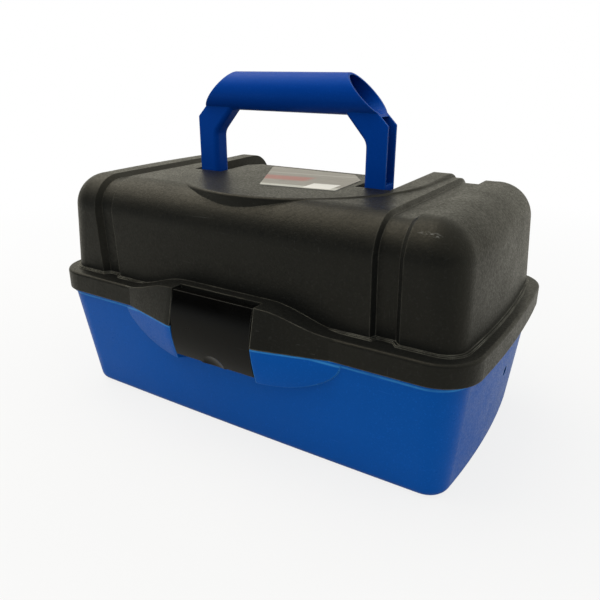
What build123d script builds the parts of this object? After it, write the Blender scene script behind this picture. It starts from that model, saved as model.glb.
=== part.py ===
from build123d import *
import math
import os

# Two-tray tackle box: blue base, charcoal lid, folding carrying handle, front latch,
# and two compartment trays that lift out on links when the lid opens.
# Millimetres. +X runs to the right along the box, +Y to the back, +Z up.
# The origin is the middle of the flat underside. The model is at rest: lid shut, latch shut,
# handle upright.

# Base shell
BASE_FLOOR_LENGTH = 318.3
BASE_FLOOR_DEPTH = 160.7
BASE_FLOOR_CORNER = 15.6
BASE_TOP_LENGTH = 334.5
BASE_TOP_DEPTH = 188.7
BASE_TOP_CORNER = 24.0
BASE_HEIGHT = 89.4
BASE_WALL = 3.0
BASE_FOOT_ROUND = 6.8
BASE_LIP_STEP = 1.0
BASE_BEAD_REACH = 1.2
BASE_BEAD_HEIGHT = 1.6
END_BOW = 5.1
SIDE_BOW = 1.4

# Lid shell
SEAM_GAP = 0.3
RIM_LENGTH = 345.0
RIM_DEPTH = 193.9
RIM_CORNER = 28.6
RIM_HEIGHT = 15.3
RIM_SKIRT_WALL = 2.4
RIM_EDGE_ROUND = 2.2
LID_WALL = 2.6
LID_FOOT_LENGTH = 327.3
LID_FOOT_DEPTH = 170.7
LID_FOOT_CORNER = 15.0
LID_HEAD_LENGTH = 318.2
LID_HEAD_DEPTH = 175.8
LID_HEAD_CORNER = 28.0
LID_TOP_ROUND = 26.0
LID_HEIGHT = 76.3
PLINTH_REACH = 1.5
PLINTH_HEIGHT = 1.2

# Bands sunk into the lid on each side of its middle section
BAND_INNER_X = 108.3
BAND_OUTER_X = 127.6
BAND_INNER_BEVEL = 1.8
BAND_OUTER_BEVEL = 4.0
BAND_SIDE_DEPTH = 4.5
BAND_TOP_DEPTH = 3.3
BAND_FLARE = 0.2

# Raised platform on the lid, with the U-shaped recess that the folded handle lies in
PLATFORM_FRONT_RADIUS = 101.0
PLATFORM_ARC_CENTRE_Y = 20.0
PLATFORM_FRONT_RISE = 0.3
PLATFORM_REAR_RISE = 2.6
PLATFORM_REAR_ROUND = 24.0
PLATFORM_EDGE_ROUND = 2.0
RECESS_HALF_WIDTH = 86.0
RECESS_FRONT_GAP = 2.5
RECESS_TONGUE_HALF_WIDTH = 59.5
RECESS_TONGUE_REAR_Y = 28.0
RECESS_TONGUE_CORNER = 9.0
TRENCH_GAP = 1.5
TROUGH_GAP = 0.7

# Carrying handle
GRIP_RADIUS = 13.8
GRIP_WALL = 1.4
GRIP_RISE = 66.8
HANDLE_Y = -6.5
HANDLE_PIVOT_DEPTH = 5.3
LEG_INNER_X = 64.5
LEG_OUTER_X = 81.0
LEG_DEPTH = 15.0
LEG_WALL = 1.6
LEG_ROUND = 3.5
LEG_CHANNEL_RISE = 8.5
GUSSET_RISE = 36.0
GUSSET_REACH = 15.0
GUSSET_ROUND = 10.0
GRIP_END_X = 61.7
HANDLE_PIN_RADIUS = 2.5
HANDLE_BOSS_RADIUS = 4.0
HANDLE_SIDE_GAP = 0.4

# Swelling at the front of the rim, and the one below it on the base
SWELL_FLAT_HALF = 37.0
SWELL_REACH = 91.0
SWELL_FRONT_FOOT = 111.0
SWELL_FRONT_HEAD = 105.0
SWELL_HEAD_COVER = 0.8
SWELL_NOSE_ROUND = 30.0
SWELL_WALL_Y = 97.0
SWELL_BACK = 80.0
SWELL_SKIN = 2.4
SWELL_SHOULDER = 2.0

# Belly on the base: (depth below the base's top edge, reach to the front) of its plans, the
# slope of its flanks, and its lower line as (x, depth below the top edge) seen from the front
POUCH_PLANS = [(33.4, 102.0), (13.4, 108.3), (0.0, 110.7)]
POUCH_FLANK_SLOPE = 0.26
POUCH_LINE = [(0.0, 30.9), (38.0, 30.7), (58.0, 28.0), (72.0, 23.0), (84.0, 15.9),
              (91.0, 9.0), (94.0, 0.0)]
POUCH_LINE_Y = 95.0
POUCH_FOOT_TILT = 20.0

# Latch
LATCH_WIDTH = 68.6
LATCH_WALL = 3.0
LATCH_SIDE_GAP = 0.7
LATCH_PIVOT_Y = -100.5
LATCH_PIVOT_RISE = 5.5
LATCH_BARREL_RADIUS = 5.0
LATCH_BARREL_GAP = 0.5
LATCH_HEAD_Y = -104.5
LATCH_BELLY_Y = -109.8
LATCH_BELLY_DROP = 21.0
LATCH_FOOT_Y = -105.6
LATCH_FOOT_DROP = 44.2
LATCH_PIN_RADIUS = 1.5
LATCH_PIN_HOLD = 4.5
LATCH_BACK_Y = -98.4
LATCH_CHEEK_DROP = 19.5
LATCH_SCOOP_RADIUS = 25.0
LATCH_SCOOP_DEPTH = 1.6
LATCH_TAB_RADIUS = 38.0
LATCH_TAB_DROP = 2.0
POCKET_WALL_Y = -97.6
POCKET_FLOOR_GAP = 1.2
HOOK_ROOT_Y = -106.6
HOOK_WIDTH = 50.0
HOOK_HEIGHT = 5.0
HOOK_TOP = 79.0
CATCH_REACH = 5.6
CATCH_HEIGHT = 6.0
CATCH_GAP = 0.4

# Lid hinge
HINGE_Y = 101.0
HINGE_HEIGHT = 92.0
HINGE_RADIUS = 4.5
HINGE_PIN_RADIUS = 2.0
HINGE_STATION_X = 95.0
HINGE_LEAF_WIDTH = 25.2
HINGE_KNUCKLE_WIDTH = 14.0
HINGE_SIDE_GAP = 0.4
HINGE_BRACKET_DROP = 18.0
HINGE_NOTCH_GAP = 0.7

# Tray links, in the planes just outside the tray ends
BASE_PIVOT_Y = 18.0
BASE_PIVOT_HEIGHT = 54.0
LINK_ANGLE = 35.0
FRONT_LINK_LENGTH = 95.0
LOWER_TRAY_REACH = 22.0
REAR_LINK_BACK = 21.0
REAR_LINK_UP = 8.0
LINK_WIDTH = 9.0
LINK_THICKNESS = 2.6
LINK_SIDE_GAP = 0.4
LINK_PIN_RADIUS = 2.0
RIVET_HEAD_RADIUS = 3.8
RIVET_HEAD_THICKNESS = 1.2
BASE_PIVOT_PIN_RADIUS = 2.5
BASE_BOSS_RADIUS = 6.0
BASE_DIMPLE_RADIUS = 3.75
BASE_DIMPLE_DEPTH = 1.5
LID_BOSS_RADIUS = 5.5
EAR_RADIUS = 5.0

# Trays
TRAY_LENGTH = 304.0
TRAY_FRONT_Y = -76.5
LOWER_TRAY_DEPTH = 107.5
UPPER_TRAY_DEPTH = 102.5
LOWER_TRAY_BOTTOM = 60.5
UPPER_TRAY_BOTTOM = 102.4
TRAY_HEIGHT = 39.0
TRAY_WALL = 2.0
TRAY_CORNER = 6.0
TRAY_MID_WALL = 1.6
DIVIDER_THICKNESS = 1.6
DIVIDER_DROP = 3.0
DIVIDER_GAP = 0.2
GUIDE_RIB = 1.4
COMPARTMENTS_PER_ROW = 4

# Sticker on the platform
LABEL_THICKNESS = 0.3
LABEL_CORNERS = [(-2.0, -44.0), (55.0, -37.0), (54.0, 4.0), (40.0, 22.0), (-36.0, 23.0)]
LABEL_CORNER_ROUND = 2.0

# Running clearance between a pin and the part that turns on it
PIN_CLEARANCE = 0.06

# Heights and faces that follow from the sizes above
RIM_FOOT = BASE_HEIGHT + SEAM_GAP
RIM_TOP = RIM_FOOT + RIM_HEIGHT
LEDGE_UNDERSIDE = RIM_TOP - LID_WALL - SEAM_GAP
BASE_LIP_TOP = LEDGE_UNDERSIDE - SEAM_GAP
LID_TOP = RIM_TOP + LID_HEIGHT
TRAY_END_X = TRAY_LENGTH / 2
LINK_INNER_X = TRAY_END_X + LINK_SIDE_GAP
LINK_OUTER_X = LINK_INNER_X + LINK_THICKNESS
LEG_FRONT_Y = HANDLE_Y - LEG_DEPTH / 2
RECESS_FRONT_Y = LEG_FRONT_Y - RECESS_FRONT_GAP
HANDLE_PIVOT_HEIGHT = LID_TOP - HANDLE_PIVOT_DEPTH
GRIP_HEIGHT = HANDLE_PIVOT_HEIGHT + GRIP_RISE
TRENCH_FLOOR = HANDLE_PIVOT_HEIGHT - LEG_DEPTH / 2 - TRENCH_GAP
TROUGH_FLOOR = HANDLE_PIVOT_HEIGHT - GRIP_RADIUS - TROUGH_GAP
LATCH_HALF = LATCH_WIDTH / 2
LATCH_PIVOT_HEIGHT = RIM_TOP + LATCH_PIVOT_RISE
LATCH_HEAD_HEIGHT = LATCH_PIVOT_HEIGHT + LATCH_BARREL_RADIUS
LATCH_THROAT_HEIGHT = LATCH_PIVOT_HEIGHT - LATCH_BARREL_RADIUS
LATCH_FOOT_HEIGHT = LATCH_PIVOT_HEIGHT - LATCH_FOOT_DROP
POCKET_HALF = LATCH_HALF + LATCH_SIDE_GAP
SWELL_TOP = LATCH_HEAD_HEIGHT + SWELL_HEAD_COVER
FAR = 400.0

# Link pivots as (y, z) when the lid is shut
LINK_Y = -math.cos(math.radians(LINK_ANGLE))
LINK_Z = math.sin(math.radians(LINK_ANGLE))
PIVOT_BASE = (BASE_PIVOT_Y, BASE_PIVOT_HEIGHT)
PIVOT_LOWER_FRONT = (BASE_PIVOT_Y + LOWER_TRAY_REACH * LINK_Y,
                     BASE_PIVOT_HEIGHT + LOWER_TRAY_REACH * LINK_Z)
PIVOT_UPPER_FRONT = (BASE_PIVOT_Y + FRONT_LINK_LENGTH * LINK_Y,
                     BASE_PIVOT_HEIGHT + FRONT_LINK_LENGTH * LINK_Z)
PIVOT_LOWER_REAR = (PIVOT_LOWER_FRONT[0] + REAR_LINK_BACK, PIVOT_LOWER_FRONT[1] + REAR_LINK_UP)
PIVOT_UPPER_REAR = (PIVOT_UPPER_FRONT[0] + REAR_LINK_BACK, PIVOT_UPPER_FRONT[1] + REAR_LINK_UP)
PIVOT_LID = (PIVOT_UPPER_FRONT[0] + HINGE_Y - BASE_PIVOT_Y,
             PIVOT_UPPER_FRONT[1] + HINGE_HEIGHT - BASE_PIVOT_HEIGHT)


def bowed_outline(length, depth, corner, height):
    """Rounded rectangle with four slightly bulging sides, as a face at one height."""
    x = length / 2
    y = depth / 2
    sides = [
        ThreePointArc((-x, -y), (0, -y - SIDE_BOW), (x, -y)),
        ThreePointArc((x, -y), (x + END_BOW, 0), (x, y)),
        ThreePointArc((x, y), (0, y + SIDE_BOW), (-x, y)),
        ThreePointArc((-x, y), (-x - END_BOW, 0), (-x, -y)),
    ]
    face = make_face(sides)
    face = fillet(face.vertices(), corner)
    return Pos(0, 0, height) * face


def block(x_low, x_high, y_low, y_high, z_low, z_high):
    """Box given by its limits."""
    size = (x_high - x_low, y_high - y_low, z_high - z_low)
    middle = ((x_low + x_high) / 2, (y_low + y_high) / 2, (z_low + z_high) / 2)
    return Pos(*middle) * Box(*size)


def rod(radius, x_low, x_high, y, z):
    """Round bar along X."""
    middle = Pos((x_low + x_high) / 2, y, z)
    return middle * Rot(0, 90, 0) * Cylinder(radius, x_high - x_low)


def side_prism(points, x_low, x_high):
    """Solid with a polygon of (y, z) points as its cross-section along X."""
    plane = Plane(origin=(x_low, 0, 0), x_dir=(0, 1, 0), z_dir=(1, 0, 0))
    face = plane * make_face(Polyline(*points, close=True))
    return extrude(face, amount=x_high - x_low, dir=(1, 0, 0))


def both_ends(shape):
    """The right-hand shape with its mirror image on the left."""
    return shape + mirror(shape, about=Plane.YZ)


def swell_plan(front, height, back=SWELL_BACK, skin=0.0):
    """Plan of the front swelling: flat in the middle, with flanks that run into the rim."""
    flat = SWELL_FLAT_HALF
    reach = SWELL_REACH
    nose = -front + skin
    root = -SWELL_WALL_Y + skin
    face = make_face(Polyline((-reach, -back), (-reach, root), (-flat, nose), (flat, nose),
                              (reach, root), (reach, -back), close=True))
    face = fillet(face.vertices().sort_by(Axis.Y)[:2], SWELL_NOSE_ROUND)
    return Pos(0, 0, height) * face


def swell_elevation(top, foot):
    """Front view of the swelling, extruded through the box: it rises in the middle."""
    reach = SWELL_REACH + SWELL_SHOULDER
    flat = SWELL_FLAT_HALF - SWELL_SHOULDER
    low = top - (SWELL_TOP - RIM_TOP)
    outline = [
        Line((-reach, foot), (-reach, low)),
        Spline((-reach, low), (-flat, top), tangents=[(1, 0), (1, 0)]),
        Line((-flat, top), (flat, top)),
        Spline((flat, top), (reach, low), tangents=[(1, 0), (1, 0)]),
        Line((reach, low), (reach, foot)),
        Line((reach, foot), (-reach, foot)),
    ]
    face = Plane.XZ * make_face(outline)
    return extrude(face, amount=FAR, dir=(0, -1, 0))


def pouch_plan(drop, front):
    """Plan of the base's belly at one depth below the top edge."""
    flat = SWELL_FLAT_HALF
    reach = flat + (front - SWELL_BACK) / POUCH_FLANK_SLOPE
    face = make_face(Polyline((-reach, -SWELL_BACK), (-flat, -front), (flat, -front),
                              (reach, -SWELL_BACK), close=True))
    face = fillet(face.vertices().sort_by(Axis.Y)[:2], SWELL_NOSE_ROUND)
    return Pos(0, 0, BASE_HEIGHT - drop) * face


def front_pouch():
    """Belly under the swelling, cut off below along a curved line with a sloping underside."""
    body = loft([pouch_plan(drop, front) for drop, front in POUCH_PLANS])
    tilt = math.radians(POUCH_FOOT_TILT)
    shift = (POUCH_LINE_Y - SWELL_BACK) * math.tan(tilt)
    right = [(x, BASE_HEIGHT - drop - shift) for x, drop in POUCH_LINE]
    left = [(-x, z) for x, z in reversed(right[1:])]
    low = Spline(*(left + right))
    top = 2 * BASE_HEIGHT
    outline = [low, Line(low @ 1, (right[-1][0], top)), Line((right[-1][0], top), (left[0][0], top)),
               Line((left[0][0], top), low @ 0)]
    plane = Plane(origin=(0, -SWELL_BACK, 0), x_dir=(1, 0, 0), z_dir=(0, -1, 0))
    reach = extrude(plane * make_face(outline), amount=FAR / 4,
                    dir=(0, -math.cos(tilt), math.sin(tilt)))
    return body & reach


def hinge_stations():
    """Middle of each hinge along X."""
    return (-HINGE_STATION_X, HINGE_STATION_X)


def base_knuckle_spans(station):
    """X limits of the two base knuckles at one hinge."""
    inner = HINGE_LEAF_WIDTH / 2 + HINGE_SIDE_GAP
    outer = inner + HINGE_KNUCKLE_WIDTH
    return ((station - outer, station - inner), (station + inner, station + outer))


def base_shell():
    """Lower tub with its lip, front belly, catch, rear knuckles and link bosses."""
    foot = bowed_outline(BASE_FLOOR_LENGTH, BASE_FLOOR_DEPTH, BASE_FLOOR_CORNER, 0)
    head = bowed_outline(BASE_TOP_LENGTH, BASE_TOP_DEPTH, BASE_TOP_CORNER, BASE_HEIGHT)
    tub = loft([foot, head])
    tub = fillet(tub.faces().sort_by(Axis.Z)[0].edges(), BASE_FOOT_ROUND)
    notch = block(-POCKET_HALF, POCKET_HALF, -FAR, 0, 0, BASE_HEIGHT + 1)
    shell = tub + (front_pouch() - notch)

    lip_length = BASE_TOP_LENGTH - 2 * BASE_LIP_STEP
    lip_depth = BASE_TOP_DEPTH - 2 * BASE_LIP_STEP
    lip = bowed_outline(lip_length, lip_depth, BASE_TOP_CORNER - BASE_LIP_STEP, BASE_HEIGHT)
    shell += extrude(lip, amount=BASE_LIP_TOP - BASE_HEIGHT, dir=(0, 0, 1))
    bead = bowed_outline(BASE_TOP_LENGTH + 2 * BASE_BEAD_REACH,
                         BASE_TOP_DEPTH + 2 * BASE_BEAD_REACH,
                         BASE_TOP_CORNER + BASE_BEAD_REACH, BASE_HEIGHT - BASE_BEAD_HEIGHT)
    shell += extrude(bead, amount=BASE_BEAD_HEIGHT, dir=(0, 0, 1))

    cavity_foot = bowed_outline(BASE_FLOOR_LENGTH - 2 * BASE_WALL,
                                BASE_FLOOR_DEPTH - 2 * BASE_WALL,
                                BASE_FLOOR_CORNER - BASE_WALL, BASE_WALL)
    cavity_head = bowed_outline(BASE_TOP_LENGTH - 2 * BASE_WALL,
                                BASE_TOP_DEPTH - 2 * BASE_WALL,
                                BASE_TOP_CORNER - BASE_WALL, BASE_HEIGHT)
    cavity = loft([cavity_foot, cavity_head])
    cavity = fillet(cavity.faces().sort_by(Axis.Z)[0].edges(), BASE_FOOT_ROUND - BASE_WALL)
    cavity += extrude(cavity_head, amount=FAR, dir=(0, 0, 1))

    bosses = both_ends(rod(BASE_BOSS_RADIUS, LINK_OUTER_X + LINK_SIDE_GAP, BASE_TOP_LENGTH / 2,
                           *PIVOT_BASE))
    shell = shell - cavity + (bosses & tub)

    bores = both_ends(rod(BASE_PIVOT_PIN_RADIUS, TRAY_END_X, FAR / 2, *PIVOT_BASE))
    dimple_x = base_end_x() - BASE_DIMPLE_DEPTH
    bores += both_ends(rod(BASE_DIMPLE_RADIUS, dimple_x, FAR / 2, *PIVOT_BASE))
    shell -= bores
    return shell + catch_rib() + base_knuckles()


def base_end_x():
    """Outer face of the base's end wall at the link pivot."""
    rise = BASE_PIVOT_HEIGHT / BASE_HEIGHT
    half = BASE_FLOOR_LENGTH / 2 + (BASE_TOP_LENGTH - BASE_FLOOR_LENGTH) / 2 * rise
    depth = BASE_FLOOR_DEPTH / 2 + (BASE_TOP_DEPTH - BASE_FLOOR_DEPTH) / 2 * rise
    return half + END_BOW * (1 - (BASE_PIVOT_Y / depth) ** 2)


def base_front_y(height):
    """Outer face of the base's front wall on the middle line, at one height."""
    rise = height / BASE_HEIGHT
    half = BASE_FLOOR_DEPTH / 2 + (BASE_TOP_DEPTH - BASE_FLOOR_DEPTH) / 2 * rise
    return -half - SIDE_BOW


def catch_face_y():
    """Face of the rib that the latch snaps over."""
    return base_front_y(BASE_HEIGHT) - CATCH_REACH


def catch_rib():
    """Ramped rib on the front wall, behind the latch."""
    low = HOOK_TOP + SEAM_GAP
    high = low + CATCH_HEIGHT
    root = base_front_y(low) + BASE_WALL / 2
    face = catch_face_y()
    points = [(root, low), (face, low), (face, low + CATCH_HEIGHT / 2), (root, high + 2)]
    return side_prism(points, -HOOK_WIDTH / 2, HOOK_WIDTH / 2)


def base_knuckles():
    """Knuckles on the back wall that hold the hinge pins."""
    wall = BASE_TOP_DEPTH / 2 - BASE_WALL / 2
    web = [(wall, HINGE_HEIGHT - HINGE_BRACKET_DROP), (wall, BASE_HEIGHT),
           (HINGE_Y, HINGE_HEIGHT), (HINGE_Y + HINGE_RADIUS, HINGE_HEIGHT)]
    knuckles = Part()
    for station in hinge_stations():
        for x_low, x_high in base_knuckle_spans(station):
            knuckles += rod(HINGE_RADIUS, x_low, x_high, HINGE_Y, HINGE_HEIGHT)
            knuckles += side_prism(web, x_low, x_high)
    for station in hinge_stations():
        reach = HINGE_LEAF_WIDTH / 2 + HINGE_SIDE_GAP + HINGE_KNUCKLE_WIDTH
        knuckles -= rod(HINGE_PIN_RADIUS, station - reach, station + reach,
                        HINGE_Y, HINGE_HEIGHT)
    return knuckles


def hinge_pins():
    """Steel pins through the knuckles at the back."""
    reach = HINGE_LEAF_WIDTH / 2 + HINGE_SIDE_GAP + HINGE_KNUCKLE_WIDTH
    pins = Part()
    for station in hinge_stations():
        pins += rod(HINGE_PIN_RADIUS, station - reach, station + reach, HINGE_Y, HINGE_HEIGHT)
    return pins


def crown(shrink_side, shrink_top, foot_height):
    """Upper body of the lid, made smaller all round by the given amounts."""
    foot = bowed_outline(LID_FOOT_LENGTH - 2 * shrink_side, LID_FOOT_DEPTH - 2 * shrink_side,
                         LID_FOOT_CORNER - shrink_side, foot_height)
    head = bowed_outline(LID_HEAD_LENGTH - 2 * shrink_side, LID_HEAD_DEPTH - 2 * shrink_side,
                         LID_HEAD_CORNER - shrink_side, LID_TOP - shrink_top)
    body = loft([foot, head])
    return fillet(body.faces().sort_by(Axis.Z)[-1].edges(), LID_TOP_ROUND - shrink_side)


def band_section(x, inset, sill):
    """Face across the lid that lies outside its front, top and back surfaces, above the sill."""
    side = SIDE_BOW / 2
    foot = LID_FOOT_DEPTH / 2 + side - BAND_SIDE_DEPTH * inset
    head = LID_HEAD_DEPTH / 2 + side - BAND_SIDE_DEPTH * inset
    top = LID_TOP - BAND_TOP_DEPTH * inset
    core = make_face(Polyline((-foot, sill), (-head, top), (head, top), (foot, sill),
                              close=True))
    core = fillet(core.vertices().sort_by(Axis.Y)[-2:], LID_TOP_ROUND - BAND_SIDE_DEPTH * inset)
    frame = make_face(Polyline((-FAR / 2, sill), (-FAR / 2, FAR), (FAR / 2, FAR),
                               (FAR / 2, sill), close=True))
    plane = Plane(origin=(x, 0, 0), x_dir=(0, 1, 0), z_dir=(1, 0, 0))
    return plane * (frame - core)


def band_cutter(extra):
    """Cutter for the right-hand band; extra sinks it further for the inside of the skin."""
    deep = 1 + extra / BAND_SIDE_DEPTH
    sill = RIM_TOP - max(extra, 0)
    low = BAND_INNER_X + BAND_INNER_BEVEL - extra
    high = BAND_OUTER_X - BAND_OUTER_BEVEL + extra
    low_edge = low - BAND_INNER_BEVEL * (deep + BAND_FLARE)
    high_edge = high + BAND_OUTER_BEVEL * (deep + BAND_FLARE)
    bottom = band_section(low, deep, sill)
    middle = extrude(bottom, amount=high - low, dir=(1, 0, 0))
    left = loft([band_section(low_edge, -BAND_FLARE, sill), bottom])
    right = loft([band_section(high, deep, sill), band_section(high_edge, -BAND_FLARE, sill)])
    return middle + left + right


def plinth():
    """Thin step round the foot of the crown, which follows the bands."""
    reach = PLINTH_REACH
    foot = bowed_outline(LID_FOOT_LENGTH + 2 * reach, LID_FOOT_DEPTH + 2 * reach,
                         LID_FOOT_CORNER + reach, LEDGE_UNDERSIDE)
    step = extrude(foot, amount=RIM_TOP + PLINTH_HEIGHT - LEDGE_UNDERSIDE, dir=(0, 0, 1))
    return step - both_ends(band_cutter(-reach))


def platform():
    """Raised field on the lid: round at the front, straight at the sides."""
    radius = PLATFORM_FRONT_RADIUS
    centre = PLATFORM_ARC_CENTRE_Y
    outline = [
        ThreePointArc((-radius, centre), (0, centre - radius), (radius, centre)),
        Line((radius, centre), (radius, FAR / 4)),
        Line((radius, FAR / 4), (-radius, FAR / 4)),
        Line((-radius, FAR / 4), (-radius, centre)),
    ]
    column = extrude(make_face(outline), amount=FAR, dir=(0, 0, 1))
    front = centre - radius
    rear = LID_HEAD_DEPTH / 2 + SIDE_BOW / 2
    foot = LID_TOP - LID_TOP_ROUND
    top = LID_TOP + PLATFORM_REAR_RISE
    outline = Polyline((front, foot), (front, LID_TOP + PLATFORM_FRONT_RISE),
                       (rear, top), (rear, foot), close=True)
    profile = make_face(outline)
    profile = fillet(profile.vertices().sort_by(Axis.X)[-2:].sort_by(Axis.Y)[-1:],
                     PLATFORM_REAR_ROUND)
    plane = Plane(origin=(-radius, 0, 0), x_dir=(0, 1, 0), z_dir=(1, 0, 0))
    field = column & extrude(plane * profile, amount=2 * radius, dir=(1, 0, 0))
    slope = field.faces().filter_by(GeomType.PLANE).sort_by(Axis.Z)[-1]
    return fillet(slope.edges().sort_by(Axis.Y)[:-1], PLATFORM_EDGE_ROUND)


def recess(grow):
    """U-shaped space for the folded handle; grow makes it larger on every wall."""
    half = RECESS_HALF_WIDTH + grow
    tongue = RECESS_TONGUE_HALF_WIDTH - grow
    front = RECESS_FRONT_Y - grow
    rear = RECESS_TONGUE_REAR_Y - grow
    trench = block(tongue, half, front, FAR / 4, TRENCH_FLOOR - grow, FAR)
    trough = block(-half, half, rear, FAR / 4, TROUGH_FLOOR - grow, FAR)
    corner = make_face(Polyline((tongue + 1, rear + 1), (tongue + 1, rear - RECESS_TONGUE_CORNER),
                                (tongue - RECESS_TONGUE_CORNER, rear + 1), close=True))
    corner = Pos(0, 0, TRENCH_FLOOR - grow) * corner
    corner = extrude(corner, amount=FAR, dir=(0, 0, 1))
    return both_ends(trench + corner) + trough


def rim():
    """Band round the foot of the lid that covers the lip of the base."""
    outer = bowed_outline(RIM_LENGTH, RIM_DEPTH, RIM_CORNER, RIM_FOOT)
    body = extrude(outer, amount=RIM_HEIGHT, dir=(0, 0, 1))
    return fillet(body.faces().sort_by(Axis.Z)[-1].edges(), RIM_EDGE_ROUND)


def rim_hollow():
    """Space inside the rim, which the lip of the base stands in."""
    inner = bowed_outline(RIM_LENGTH - 2 * RIM_SKIRT_WALL, RIM_DEPTH - 2 * RIM_SKIRT_WALL,
                          RIM_CORNER - RIM_SKIRT_WALL, RIM_FOOT - 1)
    return extrude(inner, amount=LEDGE_UNDERSIDE - RIM_FOOT + 1, dir=(0, 0, 1))


def swell():
    """Swelling at the middle of the rim's front, which carries the latch."""
    body = loft([swell_plan(SWELL_FRONT_FOOT, RIM_FOOT), swell_plan(SWELL_FRONT_HEAD, SWELL_TOP)])
    return body & swell_elevation(SWELL_TOP, RIM_FOOT)


def swell_hollow():
    """Space inside the swelling on both sides of the latch pocket."""
    back = SWELL_WALL_Y - 2 * RIM_SKIRT_WALL
    top = SWELL_TOP - SWELL_SKIN
    foot = RIM_FOOT - SWELL_SKIN
    body = loft([swell_plan(SWELL_FRONT_FOOT, foot, back, SWELL_SKIN),
                 swell_plan(SWELL_FRONT_HEAD, top, back, SWELL_SKIN)])
    body &= swell_elevation(top, foot)
    cheek = POCKET_HALF + LATCH_PIN_HOLD + SWELL_SKIN
    return body - block(-cheek, cheek, -FAR, 0, 0, FAR)


def lid_leaves():
    """Knuckles on the back of the rim that turn on the hinge pins."""
    skirt = RIM_DEPTH / 2
    web = [(skirt - RIM_SKIRT_WALL / 2, HINGE_HEIGHT), (skirt - RIM_SKIRT_WALL / 2, RIM_TOP - 1),
           (skirt + RIM_EDGE_ROUND / 2, RIM_TOP - 2), (HINGE_Y + HINGE_RADIUS, HINGE_HEIGHT)]
    leaves = Part()
    for station in hinge_stations():
        x_low = station - HINGE_LEAF_WIDTH / 2
        x_high = station + HINGE_LEAF_WIDTH / 2
        leaf = rod(HINGE_RADIUS, x_low, x_high, HINGE_Y, HINGE_HEIGHT)
        leaf += side_prism(web, x_low, x_high)
        leaves += leaf
    return leaves


def hinge_room():
    """Notches in the rim for the base knuckles, and the bores of the leaves."""
    reach = HINGE_RADIUS + HINGE_NOTCH_GAP
    inside = RIM_DEPTH / 2 - 2 * RIM_SKIRT_WALL
    room = Part()
    for station in hinge_stations():
        for x_low, x_high in base_knuckle_spans(station):
            room += block(x_low - HINGE_SIDE_GAP, x_high + HINGE_SIDE_GAP, inside,
                          HINGE_Y + reach, RIM_FOOT - 1, HINGE_HEIGHT + reach)
        room += rod(HINGE_PIN_RADIUS + PIN_CLEARANCE, station - HINGE_LEAF_WIDTH,
                    station + HINGE_LEAF_WIDTH, HINGE_Y, HINGE_HEIGHT)
    return room


def handle_bosses():
    """Round seats on both sides of each leg, round the handle's pin."""
    inner = rod(HANDLE_BOSS_RADIUS, RECESS_TONGUE_HALF_WIDTH - 1, LEG_INNER_X - HANDLE_SIDE_GAP,
                HANDLE_Y, HANDLE_PIVOT_HEIGHT)
    outer = rod(HANDLE_BOSS_RADIUS, LEG_OUTER_X + HANDLE_SIDE_GAP, RECESS_HALF_WIDTH + 1,
                HANDLE_Y, HANDLE_PIVOT_HEIGHT)
    return both_ends(inner + outer)


def lid_shell():
    """Lid: rim, crown with two sunk bands, raised platform, latch pocket and handle recess."""
    body = crown(0, 0, LEDGE_UNDERSIDE)
    body -= both_ends(band_cutter(0))
    body += plinth()
    body += platform()
    body += rim()
    body += swell()
    hollow = crown(LID_WALL, LID_WALL, LEDGE_UNDERSIDE - 1)
    hollow -= both_ends(band_cutter(LID_WALL))
    hollow -= recess(LID_WALL)
    bosses = both_ends(rod(LID_BOSS_RADIUS, LINK_INNER_X, LID_FOOT_LENGTH / 2, *PIVOT_LID))
    shell = body - hollow - rim_hollow() - swell_hollow() - recess(0)
    shell += bosses
    shell += handle_bosses()
    shell += lid_leaves()
    shell -= hinge_room()
    shell -= latch_pocket()
    hold = POCKET_HALF + LATCH_PIN_HOLD
    shell -= rod(LATCH_PIN_RADIUS, -hold, hold, LATCH_PIVOT_Y, LATCH_PIVOT_HEIGHT)
    shell -= handle_pins()
    return shell - lid_tray_pins()


def latch_pocket():
    """Gap in the front of the lid for the latch, deeper at the height of its barrel."""
    pocket = block(-POCKET_HALF, POCKET_HALF, -FAR, POCKET_WALL_Y, 0, FAR)
    back = LATCH_PIVOT_Y + LATCH_BARREL_RADIUS + LATCH_BARREL_GAP
    floor = LATCH_THROAT_HEIGHT - POCKET_FLOOR_GAP
    return pocket + block(-POCKET_HALF, POCKET_HALF, -FAR, back, floor, FAR)


def handle_pins():
    """Pins that the handle folds on."""
    inner = RECESS_TONGUE_HALF_WIDTH - LID_WALL
    outer = RECESS_HALF_WIDTH + LID_WALL
    return both_ends(rod(HANDLE_PIN_RADIUS, inner, outer, HANDLE_Y, HANDLE_PIVOT_HEIGHT))


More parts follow.
